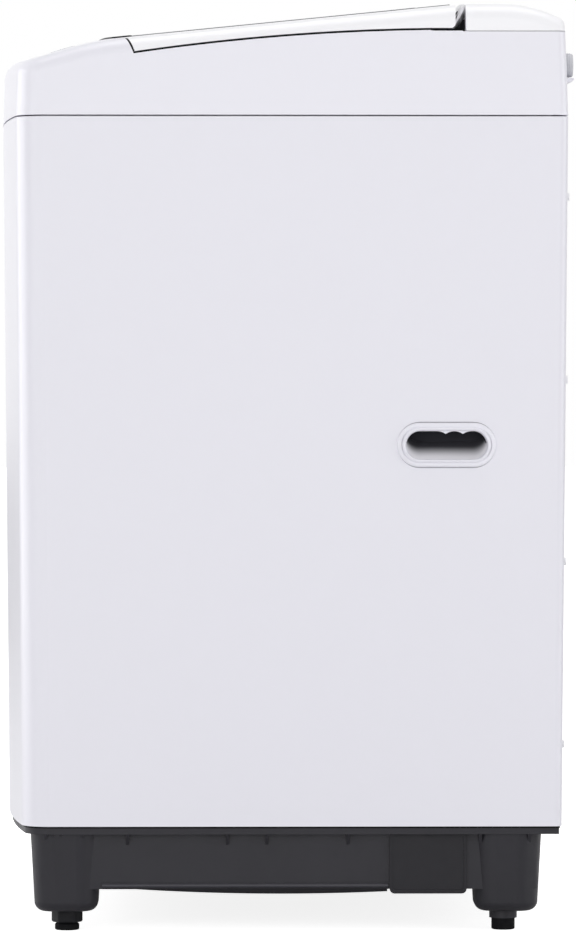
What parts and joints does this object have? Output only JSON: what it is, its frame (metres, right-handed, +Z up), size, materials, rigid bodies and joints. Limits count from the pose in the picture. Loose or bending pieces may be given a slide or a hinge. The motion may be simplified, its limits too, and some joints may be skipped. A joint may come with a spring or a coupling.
{
  "type": "top load washing machine",
  "caption": "White top load washing machine: bowed cabinet on a dark base with feet, sloping control front, hinged glass lid, hung tub, spin basket and pulsator.",
  "frame": {"origin": "on the floor under the middle of the machine's outline", "axes": "+Z up, front towards -Y, +X to the right as seen from the front"},
  "size_m": [0.5952, 0.594, 0.96],
  "materials": {
    "white_paint": "smooth gloss enamel",
    "white_plastic": "smooth gloss",
    "galvanised": "zinc coated sheet",
    "dark_plastic": "fine moulded grain",
    "black_rubber": "matte",
    "black_plastic": "satin",
    "fascia_film": "printed film",
    "display": "clear dark lens",
    "button_grey": "satin",
    "button_bright": "satin",
    "circuit_board": "lacquered board",
    "grey_plastic": "satin",
    "valve_plastic": "satin",
    "steel": "ground",
    "tub_plastic": "moulded",
    "cast_metal": "cast",
    "motor": "moulded",
    "clutch_plastic": "moulded",
    "stainless": "bright rolled",
    "basket_plastic": "smooth",
    "ring_plastic": "smooth",
    "lid_glass": "tinted toughened glass"
  },
  "bodies": {
    "cabinet": {"cabinet_shell": "white_paint", "rear_panel": "galvanised", "case_screws": "galvanised", "base_frame": "dark_plastic", "bottom_guard": "dark_plastic", "hose_port_cover": "dark_plastic", "rear_feet": "black_rubber", "lock_nuts": "black_plastic", "hand_grip_right": "white_plastic", "hand_grip_left": "white_plastic", "top_cover": "white_plastic", "rear_console": "white_plastic", "control_fascia": "fascia_film", "display_window": "display", "control_board": "circuit_board", "dispenser_housing": "grey_plastic", "inlet_valve": "valve_plastic", "inlet_hose": "black_rubber", "water_level_sensor": "valve_plastic", "cord_gland": "black_rubber", "suspension_brackets": "galvanised", "rod_seats": "grey_plastic", "suspension_rods": "steel", "suspension_caps": "grey_plastic", "suspension_springs": "steel", "drain_elbow": "valve_plastic", "drain_hose": "black_rubber"},
    "front_foot_right": {"front_foot_right": "black_rubber"},
    "front_foot_left": {"front_foot_left": "black_rubber"},
    "drawer": {"detergent_drawer": "grey_plastic"},
    "lid": {"lid_frame": "white_plastic", "lid_liner": "grey_plastic", "lid_glass": "lid_glass", "lid_hinge_pins": "steel"},
    "tub": {"outer_tub": "tub_plastic", "tub_cover": "tub_plastic", "bearing_housing": "cast_metal", "shaft_bearings": "steel", "stator": "motor", "drain_valve": "valve_plastic"},
    "basket": {"spin_basket": "stainless", "basket_base": "basket_plastic", "balance_ring": "ring_plastic", "basket_hub": "cast_metal"},
    "lint_filter_right": {"lint_filter_right": "basket_plastic"},
    "lint_filter_left": {"lint_filter_left": "basket_plastic"},
    "pulsator": {"pulsator": "basket_plastic", "pulsator_cap": "basket_plastic", "drive_shaft": "steel", "motor_rotor": "motor"},
    "clutch": {"clutch_coupling": "clutch_plastic"},
    "button_power": {"button_power": "button_grey"},
    "button_water_level": {"button_water_level": "button_grey"},
    "button_wash": {"button_wash": "button_grey"},
    "button_rinse": {"button_rinse": "button_grey"},
    "button_spin": {"button_spin": "button_grey"},
    "button_delay": {"button_delay": "button_grey"},
    "button_program": {"button_program": "button_grey"},
    "button_start": {"button_start": "button_bright"}
  },
  "joints": [
    {"name": "lid_hinge", "type": "hinge", "parent": "cabinet", "child": "lid", "pos_m": [0, 0.163, 0.941], "axis": [-1, 0, 0], "range_deg": [0, 95]},
    {"name": "drawer_slide", "type": "slide", "parent": "cabinet", "child": "drawer", "axis": [0, -1, 0], "range_m": [0, 0.085]},
    {"name": "tub_bounce", "type": "slide", "parent": "cabinet", "child": "tub", "axis": [0, 0, 1], "range_m": [-0.025, 0.012], "stiffness_N_per_m": 20000, "springref_m": 0.0141, "deforming": ["suspension_springs", "drain_hose"]},
    {"name": "basket_spin", "type": "hinge", "parent": "tub", "child": "basket", "pos_m": [0, 0, 0.2], "axis": [0, 0, 1], "continuous": true},
    {"name": "pulsator_spin", "type": "hinge", "parent": "tub", "child": "pulsator", "pos_m": [0, 0, 0.2], "axis": [0, 0, 1], "continuous": true},
    {"name": "clutch_slide", "type": "slide", "parent": "basket", "child": "clutch", "axis": [0, 0, -1], "range_m": [0, 0.008], "stiffness_N_per_m": 300, "springref_m": -0.006},
    {"name": "lint_filter_right_pull", "type": "slide", "parent": "basket", "child": "lint_filter_right", "axis": [-1, 0, 0], "range_m": [0, 0.03]},
    {"name": "lint_filter_left_pull", "type": "slide", "parent": "basket", "child": "lint_filter_left", "axis": [1, 0, 0], "range_m": [0, 0.03]},
    {"name": "front_foot_right_screw", "type": "slide", "parent": "cabinet", "child": "front_foot_right", "axis": [0, 0, -1], "range_m": [0, 0.01]},
    {"name": "front_foot_left_screw", "type": "slide", "parent": "cabinet", "child": "front_foot_left", "axis": [0, 0, -1], "range_m": [0, 0.01]},
    {"name": "button_power_press", "type": "slide", "parent": "cabinet", "child": "button_power", "axis": [0.0628, 0.2773, -0.9587], "range_m": [0, 0.0012], "stiffness_N_per_m": 600, "springref_m": -0.002},
    {"name": "button_water_level_press", "type": "slide", "parent": "cabinet", "child": "button_water_level", "axis": [0.0506, 0.2773, -0.9594], "range_m": [0, 0.0012], "stiffness_N_per_m": 600, "springref_m": -0.002},
    {"name": "button_wash_press", "type": "slide", "parent": "cabinet", "child": "button_wash", "axis": [0.0402, 0.2773, -0.9599], "range_m": [0, 0.0012], "stiffness_N_per_m": 600, "springref_m": -0.002},
    {"name": "button_rinse_press", "type": "slide", "parent": "cabinet", "child": "button_rinse", "axis": [0.0297, 0.2773, -0.9603], "range_m": [0, 0.0012], "stiffness_N_per_m": 600, "springref_m": -0.002},
    {"name": "button_spin_press", "type": "slide", "parent": "cabinet", "child": "button_spin", "axis": [-0.0206, 0.2773, -0.9606], "range_m": [0, 0.0012], "stiffness_N_per_m": 600, "springref_m": -0.002},
    {"name": "button_delay_press", "type": "slide", "parent": "cabinet", "child": "button_delay", "axis": [-0.0311, 0.2773, -0.9603], "range_m": [0, 0.0012], "stiffness_N_per_m": 600, "springref_m": -0.002},
    {"name": "button_program_press", "type": "slide", "parent": "cabinet", "child": "button_program", "axis": [-0.0416, 0.2773, -0.9599], "range_m": [0, 0.0012], "stiffness_N_per_m": 600, "springref_m": -0.002},
    {"name": "button_start_press", "type": "slide", "parent": "cabinet", "child": "button_start", "axis": [-0.0576, 0.2773, -0.9591], "range_m": [0, 0.0012], "stiffness_N_per_m": 600, "springref_m": -0.002}
  ]
}
